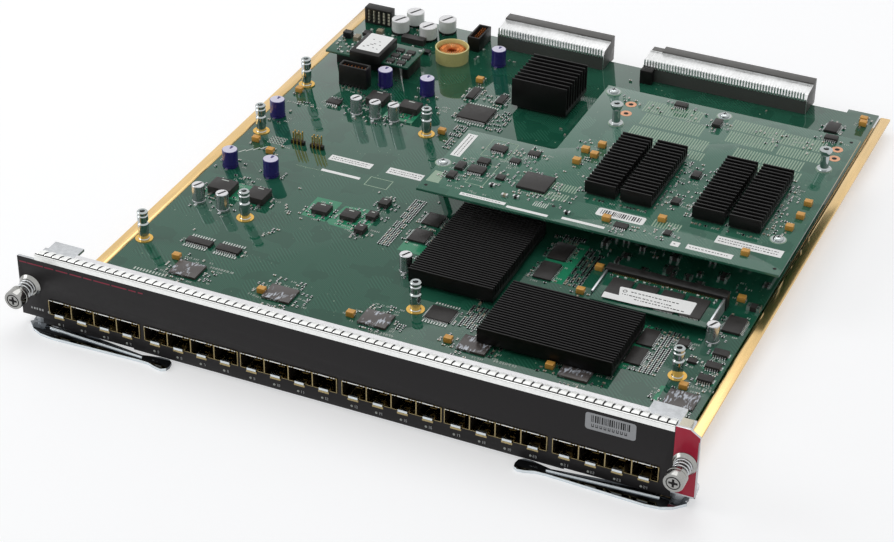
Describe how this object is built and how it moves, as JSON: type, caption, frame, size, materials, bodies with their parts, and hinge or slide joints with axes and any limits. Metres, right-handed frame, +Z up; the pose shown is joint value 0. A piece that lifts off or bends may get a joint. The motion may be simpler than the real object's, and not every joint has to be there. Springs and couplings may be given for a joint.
{
  "type": "switch line card",
  "caption": "Hot-swap switch line card: folded steel panel with transceiver ports, ejector levers and captive screws, circuit boards on a steel carrier.",
  "frame": {"origin": "under the middle of the card, on the plane the levers rest on", "axes": "+X along the panel towards its red end, +Y from the panel towards the backplane connectors, +Z up"},
  "size_m": [0.3916, 0.4322, 0.0474],
  "materials": {
    "zinc": "satin zinc plate",
    "yellow_zinc": "yellow passivated steel",
    "dark_skin": "printed charcoal skin",
    "red_skin": "printed crimson skin",
    "ivory": "moulded",
    "spring_steel": "drawn wire",
    "nickel": "nickel plate",
    "cage_metal": "tinned sheet",
    "black_plastic": "moulded",
    "solder_mask": "glossy green solder mask",
    "post_metal": "nickel plated",
    "black_anodised": "black anodised",
    "chip_epoxy": "moulded epoxy",
    "purple_sleeve": "shrink sleeve",
    "can_aluminium": "drawn can",
    "pale_sleeve": "pale film",
    "tantalum_epoxy": "moulded epoxy",
    "choke_plastic": "moulded cup",
    "copper_wire": "enamelled copper",
    "shield_metal": "stamped shield",
    "housing_grey": "moulded"
  },
  "bodies": {
    "card": {"backplane_housings": "housing_grey", "backplane_key_block": "black_plastic", "backplane_shields": "shield_metal", "board_chips": "chip_epoxy", "carrier_tray": "yellow_zinc", "choke_case": "choke_plastic", "choke_winding": "copper_wire", "corner_pad": "ivory", "daughter_board": "solder_mask", "daughter_chips": "chip_epoxy", "daughter_connectors": "black_plastic", "daughter_heatsinks": "black_anodised", "daughter_posts": "post_metal", "daughter_screws": "nickel", "emi_gasket_strip": "zinc", "end_overlay": "red_skin", "faceplate": "zinc", "filter_capacitors": "pale_sleeve", "heatsink_front_left": "black_anodised", "heatsink_front_right": "black_anodised", "heatsink_tall": "black_anodised", "lever_pivots": "zinc", "main_board": "solder_mask", "memory_chips": "chip_epoxy", "memory_latches": "zinc", "memory_module": "solder_mask", "memory_socket": "black_plastic", "panel_overlay": "dark_skin", "phy_chips": "chip_epoxy", "pin_headers": "black_plastic", "port_cage_1": "cage_metal", "port_cage_2": "cage_metal", "port_cage_3": "cage_metal", "port_cage_4": "cage_metal", "port_cage_5": "cage_metal", "port_cage_6": "cage_metal", "port_connectors": "black_plastic", "power_board": "solder_mask", "power_brick": "black_plastic", "purple_capacitors": "purple_sleeve", "rear_power_connector": "black_plastic", "regulators": "chip_epoxy", "screw_collars": "nickel", "screw_spring_left": "spring_steel", "screw_spring_right": "spring_steel", "shrouded_headers": "black_plastic", "silver_capacitors": "can_aluminium", "sink_packages": "chip_epoxy", "spacer_posts": "post_metal", "tantalum_capacitors": "tantalum_epoxy", "tray_standoffs": "zinc"},
    "lever_left": {"ejector_lever_left": "zinc"},
    "lever_right": {"ejector_lever_right": "zinc"},
    "washer_left": {"screw_washer_left": "nickel"},
    "washer_right": {"screw_washer_right": "nickel"},
    "screw_left": {"captive_screw_left": "nickel"},
    "screw_right": {"captive_screw_right": "nickel"}
  },
  "joints": [
    {"name": "lever_left_swing", "type": "hinge", "parent": "card", "child": "lever_left", "pos_m": [-0.1855, -0.19343, 0.0009], "axis": [0, 0, -1], "range_deg": [0, 65]},
    {"name": "lever_right_swing", "type": "hinge", "parent": "card", "child": "lever_right", "pos_m": [0.1855, -0.19343, 0.0009], "axis": [0, 0, 1], "range_deg": [0, 65]},
    {"name": "screw_press_left", "type": "slide", "parent": "card", "child": "washer_left", "axis": [0, 1, 0], "range_m": [0, 0.0038], "stiffness_N_per_m": 500, "springref_m": -0.003, "deforming": ["screw_spring_left"]},
    {"name": "screw_turn_left", "type": "hinge", "parent": "washer_left", "child": "screw_left", "pos_m": [-0.189, -0.20943, 0.0265], "axis": [0, 1, 0], "continuous": true},
    {"name": "screw_press_right", "type": "slide", "parent": "card", "child": "washer_right", "axis": [0, 1, 0], "range_m": [0, 0.0038], "stiffness_N_per_m": 500, "springref_m": -0.003, "deforming": ["screw_spring_right"]},
    {"name": "screw_turn_right", "type": "hinge", "parent": "washer_right", "child": "screw_right", "pos_m": [0.189, -0.20943, 0.0265], "axis": [0, 1, 0], "continuous": true}
  ]
}
